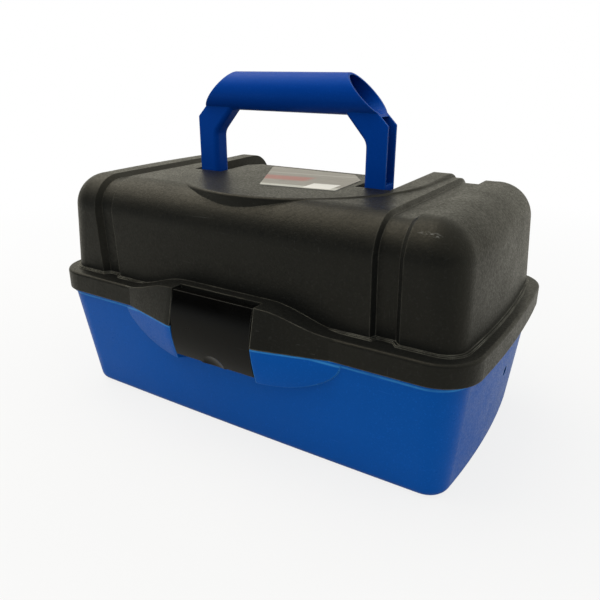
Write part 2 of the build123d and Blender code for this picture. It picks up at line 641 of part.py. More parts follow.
def handle_leg():
    """Solid right-hand leg with its round foot and the gusset that widens into the grip."""
    steep = (GRIP_RISE - GRIP_RADIUS - GUSSET_RISE) / GUSSET_REACH
    knee = (LEG_INNER_X, HANDLE_PIVOT_HEIGHT + GUSSET_RISE)
    root = (LEG_INNER_X - (GRIP_RISE - GUSSET_RISE) / steep, GRIP_HEIGHT)
    face = make_face(Polyline((LEG_INNER_X, HANDLE_PIVOT_HEIGHT), knee, root,
                              (LEG_OUTER_X, GRIP_HEIGHT), (LEG_OUTER_X, HANDLE_PIVOT_HEIGHT),
                              close=True))
    face = fillet(face.vertices().sort_by_distance(knee)[0], GUSSET_ROUND)
    plane = Plane(origin=(0, LEG_FRONT_Y + LEG_DEPTH, 0), x_dir=(1, 0, 0), z_dir=(0, -1, 0))
    leg = extrude(plane * face, amount=LEG_DEPTH, dir=(0, -1, 0))
    leg += rod(LEG_DEPTH / 2, LEG_INNER_X, LEG_OUTER_X, HANDLE_Y, HANDLE_PIVOT_HEIGHT)
    inner = leg.edges().filter_by(
        lambda edge: edge.center().X < LEG_INNER_X + 1
        and abs(edge.center().Y - HANDLE_Y) > LEG_DEPTH / 4)
    return fillet(inner, LEG_ROUND)


def handle():
    """Tubular grip on two channel legs, with slanted open ends."""
    span = LEG_OUTER_X + 1
    front = LEG_FRONT_Y
    rear = front + LEG_DEPTH
    shape = rod(GRIP_RADIUS, -span, span, HANDLE_Y, GRIP_HEIGHT) + both_ends(handle_leg())
    bore = rod(GRIP_RADIUS - GRIP_WALL, -span, span, HANDLE_Y, GRIP_HEIGHT)
    channel = block(LEG_INNER_X + LEG_WALL, LEG_OUTER_X + 1, front + LEG_WALL, rear - LEG_WALL,
                    HANDLE_PIVOT_HEIGHT + LEG_CHANNEL_RISE, GRIP_HEIGHT - GRIP_RADIUS)
    channel = fillet(channel.edges().filter_by(Axis.Z).sort_by(Axis.X)[:2], LEG_ROUND - LEG_WALL)
    slant = GRIP_END_X + GRIP_HEIGHT
    slant_outline = Polyline((slant - FAR, FAR), (FAR, FAR), (FAR, slant - FAR), close=True)
    slant_plane = Plane(origin=(0, FAR / 4, 0), x_dir=(1, 0, 0), z_dir=(0, -1, 0))
    end_cut = extrude(slant_plane * make_face(slant_outline), amount=FAR / 2, dir=(0, -1, 0))
    eye = rod(HANDLE_PIN_RADIUS + PIN_CLEARANCE, LEG_INNER_X - 1, LEG_OUTER_X + 1,
              HANDLE_Y, HANDLE_PIVOT_HEIGHT)
    return shape - bore - both_ends(channel + end_cut + eye)


def latch_arc(inset):
    """Bulging outer line of the latch, as an arc from its foot to its head."""
    return ThreePointArc((LATCH_FOOT_Y + inset, LATCH_FOOT_HEIGHT),
                         (LATCH_BELLY_Y + inset, LATCH_PIVOT_HEIGHT - LATCH_BELLY_DROP),
                         (LATCH_HEAD_Y + inset, LATCH_HEAD_HEIGHT))


def latch_section(points, inset, x_low, x_high):
    """Solid along X between the latch's outer line, set in, and a line through (y, z) points."""
    arc = latch_arc(inset)
    outline = [arc, Polyline(arc @ 1, *points, arc @ 0)]
    plane = Plane(origin=(x_low, 0, 0), x_dir=(0, 1, 0), z_dir=(1, 0, 0))
    return extrude(plane * make_face(outline), amount=x_high - x_low, dir=(1, 0, 0))


def latch():
    """Curved latch plate with side cheeks, a barrel at the top and a hook inside."""
    pivot_y = LATCH_PIVOT_Y
    pivot_z = LATCH_PIVOT_HEIGHT
    inner_foot = (LATCH_FOOT_Y + LATCH_WALL, LATCH_FOOT_HEIGHT)
    back = [(pivot_y, LATCH_HEAD_HEIGHT), (pivot_y, pivot_z),
            (LATCH_BACK_Y, pivot_z - LATCH_BARREL_RADIUS / 2),
            (LATCH_BACK_Y, pivot_z - LATCH_CHEEK_DROP), inner_foot]
    body = latch_section(back, 0, -LATCH_HALF, LATCH_HALF)
    behind = [(0, LATCH_HEAD_HEIGHT), (0, LATCH_FOOT_HEIGHT)]
    hollow = latch_section(behind, LATCH_WALL, -LATCH_HALF + LATCH_WALL, LATCH_HALF - LATCH_WALL)
    body -= hollow - block(-FAR, FAR, -FAR, FAR, LATCH_THROAT_HEIGHT, FAR)
    body += rod(LATCH_BARREL_RADIUS, -LATCH_HALF, LATCH_HALF, pivot_y, pivot_z)

    tab_middle = LATCH_FOOT_HEIGHT - LATCH_TAB_DROP + LATCH_TAB_RADIUS
    tab = Pos(0, LATCH_FOOT_Y, tab_middle) * Rot(90, 0, 0) * Cylinder(LATCH_TAB_RADIUS, FAR)
    body += tab & block(-FAR, FAR, LATCH_FOOT_Y, inner_foot[0], 0, LATCH_FOOT_HEIGHT + 1)
    lean = latch_arc(0) % 0
    reach = LATCH_SCOOP_RADIUS - LATCH_SCOOP_DEPTH
    scoop = Pos(0, LATCH_FOOT_Y - lean.Y * reach, LATCH_FOOT_HEIGHT + lean.X * reach)
    body -= scoop * Sphere(LATCH_SCOOP_RADIUS)

    hook_y = catch_face_y() - CATCH_GAP
    body += block(-HOOK_WIDTH / 2, HOOK_WIDTH / 2, HOOK_ROOT_Y, hook_y,
                  HOOK_TOP - HOOK_HEIGHT, HOOK_TOP)
    return body - rod(LATCH_PIN_RADIUS + PIN_CLEARANCE, -FAR / 2, FAR / 2, pivot_y, pivot_z)


def latch_pin():
    """Steel pin that the latch swings on."""
    hold = POCKET_HALF + LATCH_PIN_HOLD
    return rod(LATCH_PIN_RADIUS, -hold, hold, LATCH_PIVOT_Y, LATCH_PIVOT_HEIGHT)


def link(start, end, extra_holes):
    """Flat right-hand link with round ends between two (y, z) pivots."""
    length = math.hypot(end[0] - start[0], end[1] - start[1])
    along = (0, (end[0] - start[0]) / length, (end[1] - start[1]) / length)
    plane = Plane(origin=(LINK_INNER_X, start[0], start[1]), x_dir=along, z_dir=(1, 0, 0))
    outline = Pos(length / 2, 0) * SlotCenterToCenter(length, LINK_WIDTH)
    for distance, radius in [(length, LINK_PIN_RADIUS)] + extra_holes:
        outline -= Pos(distance, 0) * Circle(radius + PIN_CLEARANCE)
    return extrude(plane * outline, amount=LINK_THICKNESS, dir=(1, 0, 0))


def front_link():
    """Long link from the base to the upper tray, which also lifts the lower tray."""
    holes = [(0, BASE_PIVOT_PIN_RADIUS), (LOWER_TRAY_REACH, LINK_PIN_RADIUS)]
    return link(PIVOT_BASE, PIVOT_UPPER_FRONT, holes)


def rear_link():
    """Short link between the trays, which keeps the lower tray level."""
    return link(PIVOT_LOWER_REAR, PIVOT_UPPER_REAR, [(0, LINK_PIN_RADIUS)])


def rivet(pivot):
    """Right-hand rivet through a tray end and a link."""
    inside = TRAY_END_X - TRAY_WALL
    outside = LINK_OUTER_X + LINK_SIDE_GAP
    shank = rod(LINK_PIN_RADIUS, inside - RIVET_HEAD_THICKNESS, outside + RIVET_HEAD_THICKNESS,
                *pivot)
    inner_head = rod(RIVET_HEAD_RADIUS, inside - RIVET_HEAD_THICKNESS, inside, *pivot)
    outer_head = rod(RIVET_HEAD_RADIUS, outside, outside + RIVET_HEAD_THICKNESS, *pivot)
    return shank + inner_head + outer_head


def base_link_pins():
    """Pins in the base that the front links turn on."""
    head_x = TRAY_END_X - RIVET_HEAD_THICKNESS
    shank = rod(BASE_PIVOT_PIN_RADIUS, head_x, base_end_x() - BASE_DIMPLE_DEPTH, *PIVOT_BASE)
    head = rod(RIVET_HEAD_RADIUS, head_x, TRAY_END_X, *PIVOT_BASE)
    return both_ends(shank + head)


def lid_tray_pins():
    """Pins in the lid that carry the ears of the upper tray."""
    head_x = TRAY_END_X - TRAY_WALL - LINK_SIDE_GAP
    shank = rod(LINK_PIN_RADIUS, head_x - RIVET_HEAD_THICKNESS, LID_HEAD_LENGTH / 2, *PIVOT_LID)
    head = rod(RIVET_HEAD_RADIUS, head_x - RIVET_HEAD_THICKNESS, head_x, *PIVOT_LID)
    return both_ends(shank + head)


def tray_rows(depth):
    """Y limits of the front and rear rows of compartments."""
    front = TRAY_FRONT_Y + TRAY_WALL
    rear = TRAY_FRONT_Y + depth - TRAY_WALL
    middle = (front + rear) / 2
    return ((front, middle - TRAY_MID_WALL / 2), (middle + TRAY_MID_WALL / 2, rear))


def divider_positions():
    """X of every divider in a row."""
    inner = TRAY_LENGTH - 2 * TRAY_WALL
    pitch = inner / COMPARTMENTS_PER_ROW
    return [-inner / 2 + pitch * index for index in range(1, COMPARTMENTS_PER_ROW)]


def tray_body(depth, bottom):
    """Open tray with a wall along its middle and guide ribs for the dividers."""
    middle_y = TRAY_FRONT_Y + depth / 2
    outer = Pos(0, middle_y, bottom) * RectangleRounded(TRAY_LENGTH, depth, TRAY_CORNER)
    inner = Pos(0, middle_y, bottom + TRAY_WALL) * RectangleRounded(
        TRAY_LENGTH - 2 * TRAY_WALL, depth - 2 * TRAY_WALL, TRAY_CORNER - TRAY_WALL)
    body = extrude(outer, amount=TRAY_HEIGHT, dir=(0, 0, 1))
    body -= extrude(inner, amount=TRAY_HEIGHT, dir=(0, 0, 1))
    half = TRAY_END_X - TRAY_WALL / 2
    rows = tray_rows(depth)
    rib_top = bottom + TRAY_HEIGHT - DIVIDER_DROP
    body += block(-half, half, rows[0][1], rows[1][0], bottom + TRAY_WALL / 2, rib_top)
    slot = DIVIDER_THICKNESS / 2 + DIVIDER_GAP
    for x in divider_positions():
        for low, high in rows:
            for side in (-1, 1):
                near = x + side * slot
                far = x + side * (slot + GUIDE_RIB)
                for y_low, y_high in ((low - TRAY_WALL / 4, low + GUIDE_RIB),
                                      (high - GUIDE_RIB, high + TRAY_WALL / 4)):
                    body += block(min(near, far), max(near, far), y_low, y_high,
                                  bottom + TRAY_WALL / 2, rib_top)
    return body


def tray_dividers(depth, bottom):
    """Loose dividers that stand between the guide ribs."""
    plates = Part()
    for x in divider_positions():
        for low, high in tray_rows(depth):
            plates += block(x - DIVIDER_THICKNESS / 2, x + DIVIDER_THICKNESS / 2,
                            low + DIVIDER_GAP, high - DIVIDER_GAP,
                            bottom + TRAY_WALL, bottom + TRAY_HEIGHT - DIVIDER_DROP)
    return plates


def lower_tray():
    """Tray inside the base, carried by the links."""
    body = tray_body(LOWER_TRAY_DEPTH, LOWER_TRAY_BOTTOM)
    holes = Part()
    for pivot in (PIVOT_LOWER_FRONT, PIVOT_LOWER_REAR):
        holes += rod(LINK_PIN_RADIUS, TRAY_END_X - 2 * TRAY_WALL, TRAY_END_X + 1, *pivot)
    return body - both_ends(holes)


def upper_tray():
    """Tray inside the lid, hung from the lid by its ears and held level by the links."""
    body = tray_body(UPPER_TRAY_DEPTH, UPPER_TRAY_BOTTOM)
    ear_y, ear_z = PIVOT_LID
    wall_top = UPPER_TRAY_BOTTOM + TRAY_HEIGHT
    ear = block(TRAY_END_X - TRAY_WALL, TRAY_END_X, ear_y - EAR_RADIUS, ear_y + EAR_RADIUS,
                wall_top - EAR_RADIUS * 2, ear_z)
    ear &= block(0, FAR, TRAY_FRONT_Y, TRAY_FRONT_Y + UPPER_TRAY_DEPTH - TRAY_WALL, 0, FAR)
    ear += rod(EAR_RADIUS, TRAY_END_X - TRAY_WALL, TRAY_END_X, ear_y, ear_z)
    body += both_ends(ear)
    holes = rod(LINK_PIN_RADIUS + PIN_CLEARANCE, TRAY_END_X - 2 * TRAY_WALL, TRAY_END_X + 1,
                ear_y, ear_z)
    for pivot in (PIVOT_UPPER_FRONT, PIVOT_UPPER_REAR):
        holes += rod(LINK_PIN_RADIUS, TRAY_END_X - 2 * TRAY_WALL, TRAY_END_X + 1, *pivot)
    return body - both_ends(holes)


def label():
    """Sticker on the sloping top of the platform, between the handle's legs."""
    front_y = PLATFORM_ARC_CENTRE_Y - PLATFORM_FRONT_RADIUS
    rear_y = LID_HEAD_DEPTH / 2 + SIDE_BOW / 2
    rise = PLATFORM_REAR_RISE - PLATFORM_FRONT_RISE
    angle = math.atan2(rise, rear_y - front_y)
    along = (0, math.cos(angle), math.sin(angle))
    normal = (0, -math.sin(angle), math.cos(angle))
    height = LID_TOP + PLATFORM_FRONT_RISE - front_y * math.tan(angle)
    plane = Plane(origin=(0, 0, height), x_dir=(1, 0, 0), z_dir=normal)
    face = make_face(Polyline(*LABEL_CORNERS, close=True))
    face = fillet(face.vertices(), LABEL_CORNER_ROUND)
    return extrude(plane * face, amount=LABEL_THICKNESS)


def on_the_left(shape):
    """Mirror image of a right-hand shape."""
    return mirror(shape, about=Plane.YZ)


def build():
    """Every sub-part under its own name."""
    lower_rivets = both_ends(rivet(PIVOT_LOWER_FRONT)) + both_ends(rivet(PIVOT_LOWER_REAR))
    upper_rivets = both_ends(rivet(PIVOT_UPPER_FRONT)) + both_ends(rivet(PIVOT_UPPER_REAR))
    return {
        "base_shell": base_shell(),
        "hinge_pins": hinge_pins(),
        "base_link_pins": base_link_pins(),
        "lid_shell": lid_shell(),
        "label": label(),
        "lid_tray_pins": lid_tray_pins(),
        "handle_pins": handle_pins(),
        "handle": handle(),
        "latch_pin": latch_pin(),
        "latch": latch(),
        "front_link_right": front_link(),
        "front_link_left": on_the_left(front_link()),
        "rear_link_right": rear_link(),
        "rear_link_left": on_the_left(rear_link()),
        "lower_tray": lower_tray(),
        "lower_tray_rivets": lower_rivets,
        "lower_tray_dividers": tray_dividers(LOWER_TRAY_DEPTH, LOWER_TRAY_BOTTOM),
        "upper_tray": upper_tray(),
        "upper_tray_rivets": upper_rivets,
        "upper_tray_dividers": tray_dividers(UPPER_TRAY_DEPTH, UPPER_TRAY_BOTTOM),
    }


os.makedirs("parts", exist_ok=True)
for name, shape in build().items():
    export_step(shape, f"parts/{name}.step")
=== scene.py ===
import math
from collections import namedtuple

import bpy
from mathutils import Matrix, Vector

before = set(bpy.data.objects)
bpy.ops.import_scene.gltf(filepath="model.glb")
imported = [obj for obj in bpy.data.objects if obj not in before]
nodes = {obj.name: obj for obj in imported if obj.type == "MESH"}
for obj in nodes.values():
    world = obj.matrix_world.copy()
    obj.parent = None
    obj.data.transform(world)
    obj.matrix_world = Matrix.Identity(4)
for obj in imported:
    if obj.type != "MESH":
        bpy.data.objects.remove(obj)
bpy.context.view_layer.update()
MM = 0.001
MM_PER_METRE = 1000.0


# Camera, solved from the photograph. Place in metres, angles in degrees, lens and sensor in millimetres

CAMERA_AT = (0.24869, -0.39046, 0.26037)
CAMERA_YAW = 32.019
CAMERA_PITCH = 21.276
CAMERA_ROLL = 0.123
CAMERA_LENS = 36.06
CAMERA_SENSOR = 36.0
CAMERA_CLIP_START = 0.01


def photo_camera():
    yaw, pitch = math.radians(CAMERA_YAW), math.radians(CAMERA_PITCH)
    ahead = Vector((-math.sin(yaw) * math.cos(pitch), math.cos(yaw) * math.cos(pitch), -math.sin(pitch)))
    aside = Vector((math.cos(yaw), math.sin(yaw), 0.0))
    above = aside.cross(ahead)
    turn = Matrix((aside, above, -ahead)).transposed()
    roll = Matrix.Rotation(math.radians(CAMERA_ROLL), 3, "Z")
    data = bpy.data.cameras.new("camera")
    data.lens = CAMERA_LENS
    data.sensor_width = CAMERA_SENSOR
    data.clip_start = CAMERA_CLIP_START
    camera = bpy.data.objects.new("camera", data)
    camera.matrix_world = Matrix.Translation(CAMERA_AT) @ (turn @ roll).to_4x4()
    bpy.context.scene.collection.objects.link(camera)
    bpy.context.scene.camera = camera


photo_camera()


# Noise patterns. Size is in millimetres, and scale and turned distort the space that the noise is taken in.
# The noise rises from least to most between the noise values start and full

Pattern = namedtuple("Pattern", "size detail rough start full least most scale turned",
                     defaults=(0.0, 1.0, None, (0.0, 0.0, 0.0)))

FLOW = Pattern(70, 3, 0.55, 0.32, 0.68, scale=(0.5, 1.0, 1.6))
PATCHES = Pattern(9, 2, 0.6, 0.3, 0.7, most=0.5)
# edge wear mixed with painted edge highlights
EDGE_WEAR_AND_HIGHLIGHT = Pattern(14, 3, 0.6, 0.35, 0.65, least=0.2)
# breaks in a painted highlight line
HIGHLIGHT_LINE_BREAKS = Pattern(18, 3, 0.6, 0.3, 0.6, 0.3, 0.65)
SCRATCHES_ALONG = Pattern(1.1, 1, 0.5, 0.74, 0.80, scale=(0.035, 1.0, 1.0), turned=(0.1, 0.35, 0.55))
SCRATCHES_UP = Pattern(1.3, 1, 0.5, 0.75, 0.81, scale=(1.0, 1.0, 0.04), turned=(0.3, 0.15, 0.2))
SCRATCHED_AREAS = Pattern(35, 2, 0.5, 0.48, 0.62)
SCUFF_STROKES = Pattern(1.1, 2, 0.6, 0.52, 0.64, most=0.7, scale=(0.5, 1.0, 1.6), turned=(0.0, 0.5, 0.2))
FOIL_LINES = Pattern(0.9, 2, 0.6, 0.3, 0.7, scale=(0.06, 1.0, 1.0))
INK = Pattern(1.5, 3, 0.6, 0.3, 0.6, 0.6, 0.95)
FLOOR_TONES = Pattern(300, 2, 0.5, 0.3, 0.7)

# Speckles go with the grain: their size is a share of the grain's
SPECKLES = Pattern(1.6, 2, 0.7, 0.56, 0.74, most=0.6)

# What these two add to the roughness
GLOSS = Pattern(25, 3, 0.6, 0.3, 0.7, -0.04, 0.05)
MOTTLED_GLOSS = Pattern(1.7, 2, 0.7, 0.35, 0.65, -0.09, 0.09)

# Noise of bumps: size, detail and rough
WAVES = (30, 1, 0.4)
MOTTLING = (3.2, 2, 0.6)
FILM_WAVES = (12, 2, 0.5)
GRAIN_DETAIL = (3, 0.65)


# Node trees

class Tree:
    """Adds nodes to a node tree by short calls. An input is a value, or the output that it is linked to."""

    def __init__(self, tree):
        self.tree = tree

    def feed(self, entry, value):
        if isinstance(value, bpy.types.NodeSocket):
            self.tree.links.new(value, entry)
        else:
            entry.default_value = value

    def add(self, kind, inputs=None, **settings):
        node = self.tree.nodes.new(kind)
        for key, value in settings.items():
            setattr(node, key, value)
        for socket, value in (inputs or {}).items():
            self.feed(node.inputs[socket], value)
        return node

    def math(self, operation, a, b=0.0, clamp=False):
        return self.add("ShaderNodeMath", {0: a, 1: b}, operation=operation, use_clamp=clamp).outputs[0]

    def vector(self, operation, a, b=(0.0, 0.0, 0.0)):
        outputs = self.add("ShaderNodeVectorMath", {0: a, 1: b}, operation=operation).outputs
        return outputs["Value" if operation in ("DOT_PRODUCT", "LENGTH") else "Vector"]

    def axis(self, name, vector):
        return self.add("ShaderNodeSeparateXYZ", {0: vector}).outputs[name]

    def ramp(self, value, low, high, to_low=0.0, to_high=1.0, **settings):
        inputs = {"Value": value, "From Min": low, "From Max": high, "To Min": to_low, "To Max": to_high}
        return self.add("ShaderNodeMapRange", inputs, **settings).outputs["Result"]

    def mixed(self, fac, a, b):
        """The colours a and b, mixed."""
        node = self.add("ShaderNodeMix", {"Factor": fac}, data_type="RGBA")
        for name, value in (("A", a), ("B", b)):
            entry = next(i for i in node.inputs if i.name == name and i.type == "RGBA")
            self.feed(entry, (*value, 1.0) if isinstance(value, tuple) else value)
        return next(o for o in node.outputs if o.type == "RGBA")

    def seen_as_background(self):
        """1 for rays from the camera, and for those that a glossy or clear surface sends on."""
        path = self.add("ShaderNodeLightPath").outputs
        rays = path["Is Camera Ray"]
        for kind in ("Is Glossy Ray", "Is Transmission Ray"):
            rays = self.math("MAXIMUM", rays, path[kind])
        return rays


class Surface(Tree):
    """A material round its own shader. Lengths are in millimetres of the object."""

    BEVEL_SAMPLES = 6
    FLAT_DOT, SHARP_DOT = 0.995, 0.80
    LINE_CORE = 0.4
    BELLY_STEP = 5.0

    def __init__(self, name, roughness, **shader):
        self.material = bpy.data.materials.new(name)
        self.material.use_nodes = True
        super().__init__(self.material.node_tree)
        self.shader = next(n for n in self.tree.nodes if n.type == "BSDF_PRINCIPLED")
        self.shader.inputs["Roughness"].default_value = roughness
        for socket, value in shader.items():
            self.shader.inputs[socket.replace("_", " ")].default_value = value
        self.place = self.add("ShaderNodeTexCoord").outputs["Object"]

    def wire(self, socket, value):
        self.tree.links.new(value, self.shader.inputs[socket])

    def noise(self, size, detail, rough, place=None):
        return self.add("ShaderNodeTexNoise", {"Vector": place or self.place, "Scale": MM_PER_METRE / size,
                                               "Detail": detail, "Roughness": rough}).outputs["Fac"]

    def clouds(self, pattern, shift=0.0):
        """A noise pattern, with shift added to its values."""
        place = None
        if pattern.scale:
            place = self.add("ShaderNodeMapping", {"Vector": self.place, "Scale": pattern.scale,
                                                   "Rotation": pattern.turned}).outputs[0]
        noise = self.noise(pattern.size, pattern.detail, pattern.rough, place)
        return self.ramp(noise, pattern.start, pattern.full, pattern.least + shift, pattern.most + shift)

    def rounded(self, radius):
        bevel = self.add("ShaderNodeBevel", {"Radius": radius * MM}, samples=self.BEVEL_SAMPLES)
        return bevel.outputs["Normal"]

    def edges(self, radius):
        """0 on flats and 1 on sharp outer and inner edges."""
        true = self.add("ShaderNodeNewGeometry").outputs["Normal"]
        return self.ramp(self.vector("DOT_PRODUCT", self.rounded(radius), true),
                         self.FLAT_DOT, self.SHARP_DOT)

    def bump(self, height, depth, under):
        """Adds a height in 0..1 that is depth millimetres tall to the normal under it."""
        return self.add("ShaderNodeBump", {"Height": height, "Distance": depth * MM, "Strength": 1.0,
                                           "Normal": under}).outputs["Normal"]

    def near(self, at, reach, core):
        """1 in the core of an ellipsoid round a point, and 0 outside it."""
        away = self.vector("SUBTRACT", self.place, tuple(v * MM for v in at))
        away = self.vector("MULTIPLY", away, tuple(1.0 / (r * MM) for r in reach))
        return self.ramp(self.vector("LENGTH", away), 1.0, core)

    def level_line(self, wall_level, belly_level, belly_y, half):
        """1 on a level line round the walls, which climbs to another level on what bulges past belly_y."""
        level = self.ramp(self.axis("Y", self.place), belly_y * MM, (belly_y + self.BELLY_STEP) * MM,
                          belly_level * MM, wall_level * MM)
        off = self.math("ABSOLUTE", self.math("SUBTRACT", self.axis("Z", self.place), level))
        return self.ramp(off, half * MM, self.LINE_CORE * half * MM)


def dress(surface, *names):
    for name in names:
        slots = nodes[name].data.materials
        slots.clear()
        slots.append(surface.material)


# Moulded plastic and metal: where edge wear and painted edge highlights reach, in edge radii and
# millimetres, and how strong marks are

WEAR_AND_HIGHLIGHT_REACH = 1.8
FOOT_STEP = 6.0
WEAR_AND_HIGHLIGHT_ABOVE_FOOT = 0.5
PATCH_SHARE = 0.6
SPECKLE_FACTOR = 1.4
SCRATCH_ROUGHNESS = 0.15
PIT_ROUGHNESS = 0.5
PIT_CORE = 0.85
SCUFF_CORE = 0.4

# Factor and lift that turn a colour into that of its marks
# rubbed edges: partly wear, partly a painted highlight
RUBBED_AND_HIGHLIT = (2.2, 0.01)
SCRATCHED = (2.5, 0.05)
SCUFFED = (6.0, 0.10)
# painted shade in pits
PIT_SHADE = (0.08, 0.0)


def shade(colour, factor, lift=0.0):
    return tuple(min(1.0, c * factor + lift) for c in colour)


def uneven_colour(s, colour, patchy, grain, speckle):
    """Flow patches, smaller patches and speckles of the size of the grain."""
    base = s.mixed(s.clouds(FLOW), shade(colour, 1 - patchy), shade(colour, 1 + patchy))
    base = s.mixed(s.clouds(PATCHES), base, shade(colour, 1 + PATCH_SHARE * patchy))
    speckles = SPECKLES._replace(size=grain * SPECKLES.size)
    return s.mixed(s.clouds(speckles), base, shade(colour, SPECKLE_FACTOR, speckle))


def wear_and_edge_highlight(s, rub_and_highlight, edge, rubbed_and_highlit_foot, painted_highlight_line):
    """Where a piece is lightened: on its edges by wear and a painted highlight, less so above a foot level,
    and along a level line by a painted highlight.
    """
    worn_and_highlit = s.math("MULTIPLY", s.math("MULTIPLY", s.edges(WEAR_AND_HIGHLIGHT_REACH * edge), s.clouds(EDGE_WEAR_AND_HIGHLIGHT)), rub_and_highlight)
    if rubbed_and_highlit_foot:
        share = s.ramp(s.axis("Z", s.place), rubbed_and_highlit_foot * MM, (rubbed_and_highlit_foot + FOOT_STEP) * MM,
                       1.0, WEAR_AND_HIGHLIGHT_ABOVE_FOOT)
        worn_and_highlit = s.math("MULTIPLY", worn_and_highlit, share)
    # a painted highlight along a level line
    if painted_highlight_line:
        line = s.math("MULTIPLY", s.level_line(**painted_highlight_line), s.clouds(HIGHLIGHT_LINE_BREAKS))
        worn_and_highlit = s.math("MAXIMUM", worn_and_highlit, line)
    return worn_and_highlit


def scratch_marks(s, strength):
    """Hairline scratches in two directions, in some areas only."""
    marks = s.math("MAXIMUM", s.clouds(SCRATCHES_ALONG), s.clouds(SCRATCHES_UP))
    return s.math("MULTIPLY", s.math("MULTIPLY", marks, s.clouds(SCRATCHED_AREAS)), strength)


def moulded(name, colour, roughness, grain, grain_depth, patchy=0.06, rub_and_highlight=0.25, edge=0.5, rub_and_highlight_colour=None,
            scratches=0.0, wave=0.0, mottle=0.0, speckle=0.004, rubbed_and_highlit_foot=None, painted_highlight_line=None,
            shaded_pits=(), scuffs=(), **shader):
    """A moulded piece with fine grain, faint patches, edges lightened by wear and a painted highlight, a
    painted highlight line, hairline scratches, painted shade in pits, and scuffs.

    Lengths are in millimetres: grain is the size of the grain, wave and mottle are the depths of two
    coarser reliefs, and edge is the radius that sharp edges are rounded to.
    """
    s = Surface(name, roughness, **shader)
    base = uneven_colour(s, colour, patchy, grain, speckle)
    # edges and a level line made lighter: partly wear, partly painted highlight
    base = s.mixed(wear_and_edge_highlight(s, rub_and_highlight, edge, rubbed_and_highlit_foot, painted_highlight_line), base, rub_and_highlight_colour or shade(colour, *RUBBED_AND_HIGHLIT))
    gloss = s.clouds(GLOSS, roughness)
    normal = s.rounded(edge)
    if wave:
        normal = s.bump(s.noise(*WAVES), wave, normal)
    if mottle:
        normal = s.bump(s.noise(*MOTTLING), mottle, normal)
        gloss = s.math("ADD", gloss, s.clouds(MOTTLED_GLOSS))
    normal = s.bump(s.noise(grain, *GRAIN_DETAIL), grain_depth, normal)
    if scratches:
        marks = scratch_marks(s, scratches)
        base = s.mixed(marks, base, shade(colour, *SCRATCHED))
        gloss = s.math("ADD", gloss, s.math("MULTIPLY", marks, SCRATCH_ROUGHNESS))
    # painted shade in pits, with rougher gloss there
    for at, reach in shaded_pits:
        pit_shade = s.near(at, reach, PIT_CORE)
        base = s.mixed(pit_shade, base, shade(colour, *PIT_SHADE))
        gloss = s.math("ADD", gloss, s.math("MULTIPLY", pit_shade, PIT_ROUGHNESS), clamp=True)
    for at, reach in scuffs:
        strokes = s.math("MULTIPLY", s.clouds(SCUFF_STROKES), s.near(at, reach, SCUFF_CORE))
        base = s.mixed(strokes, base, shade(colour, *SCUFFED))
    s.wire("Base Color", base)
    s.wire("Roughness", gloss)
    s.wire("Normal", normal)
    return s


# Middle and reach of the painted shade in the dimples round the link pins, and of the scuffs on the lid
DIMPLE_REACH = (20.0, 4.1, 4.1)
LINK_PIN_DIMPLE_SHADE = (((170.0, 18.0, 54.0), DIMPLE_REACH), ((-170.0, 18.0, 54.0), DIMPLE_REACH))
LID_SCUFFS = (((154.0, -79.0, 174.0), (5.5, 4.0, 4.0)), ((141.0, -79.5, 174.5), (11.0, 1.6, 2.5)),
              ((105.0, -50.0, 181.0), (6.0, 4.0, 4.0)), ((105.0, -92.8, 177.0), (10.0, 1.0, 2.5)))
# A painted highlight line round the base walls under the rim, climbing higher on the bulge at the front
BEAD_HIGHLIGHT_LINE = {"wall_level": 86.4, "belly_level": 88.9, "belly_y": -101.0, "half": 1.1}
PLINTH_LEVEL = 106.0

base_blue = moulded(
    "base_blue", colour=(0.002, 0.079, 0.370), roughness=0.38, grain=0.9, grain_depth=0.02, patchy=0.05,
    rub_and_highlight=0.9, edge=0.8, rub_and_highlight_colour=(0.05, 0.29, 0.66), scratches=0.2, wave=0.10, mottle=0.01,
    painted_highlight_line=BEAD_HIGHLIGHT_LINE, shaded_pits=LINK_PIN_DIMPLE_SHADE, Specular_IOR_Level=0.07, Specular_Tint=(0.30, 0.75, 1.0, 1.0))
lid_charcoal = moulded(
    "lid_charcoal", colour=(0.0066, 0.0070, 0.0068), roughness=0.42, grain=1.1, grain_depth=0.12,
    patchy=0.15, rub_and_highlight=1.0, edge=0.7, rub_and_highlight_colour=(0.15, 0.145, 0.12), scratches=0.35, wave=0.08, mottle=0.09,
    speckle=0.008, rubbed_and_highlit_foot=PLINTH_LEVEL, scuffs=LID_SCUFFS, Specular_IOR_Level=0.16,
    Specular_Tint=(1.0, 0.94, 0.78, 1.0))
handle_blue = moulded(
    "handle_blue", colour=(0.0008, 0.037, 0.25), roughness=0.38, grain=0.8, grain_depth=0.02, patchy=0.05,
    rub_and_highlight=0.6, rub_and_highlight_colour=(0.01, 0.14, 0.50), scratches=0.15, wave=0.06, IOR=1.22, Specular_IOR_Level=0.22,
    Specular_Tint=(0.10, 0.70, 1.0, 1.0))
latch_black = moulded(
    "latch_black", colour=(0.0008, 0.0008, 0.0008), roughness=0.23, grain=0.6, grain_depth=0.02, patchy=0.1,
    rub_and_highlight=0.35, edge=0.6, rub_and_highlight_colour=(0.10, 0.10, 0.09), scratches=0.25, Specular_IOR_Level=0.12)
tray_grey = moulded(
    "tray_grey", colour=(0.33, 0.34, 0.35), roughness=0.42, grain=0.8, grain_depth=0.03, patchy=0.05,
    rub_and_highlight=0.2, scratches=0.2)
divider_grey = moulded(
    "divider_grey", colour=(0.42, 0.43, 0.44), roughness=0.40, grain=0.8, grain_depth=0.03, patchy=0.05,
    rub_and_highlight=0.2)
link_grey = moulded(
    "link_grey", colour=(0.045, 0.045, 0.05), roughness=0.40, grain=0.8, grain_depth=0.03, patchy=0.08,
    rub_and_highlight=0.3)
